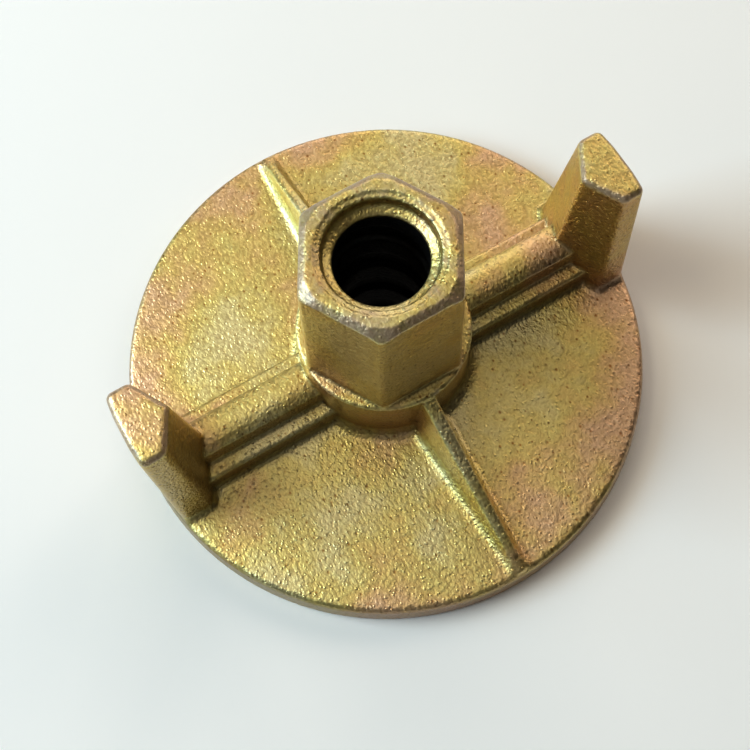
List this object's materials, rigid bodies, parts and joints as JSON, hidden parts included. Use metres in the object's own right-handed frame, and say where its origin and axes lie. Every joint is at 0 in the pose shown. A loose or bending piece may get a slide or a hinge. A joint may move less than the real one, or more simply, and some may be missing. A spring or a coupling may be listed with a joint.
{
  "type": "formwork wing nut",
  "caption": "Cast nut for a formwork tie rod: round bearing plate, hexagonal hub with a rod bore, and upright lugs on ribs for a hammer or bar.",
  "frame": {"origin": "centre of the flat bearing face, on the axis of the rod bore", "axes": "+Z along the bore, from the bearing face towards the hub's top; +X through the middle of the lugs"},
  "size_m": [0.1, 0.1, 0.0495],
  "materials": {
    "wing_nut": "ductile iron casting with yellow passivated zinc plating, satin, with a grainy cast skin"
  },
  "bodies": {
    "root": {"wing_nut": "wing_nut"}
  },
  "joints": []
}
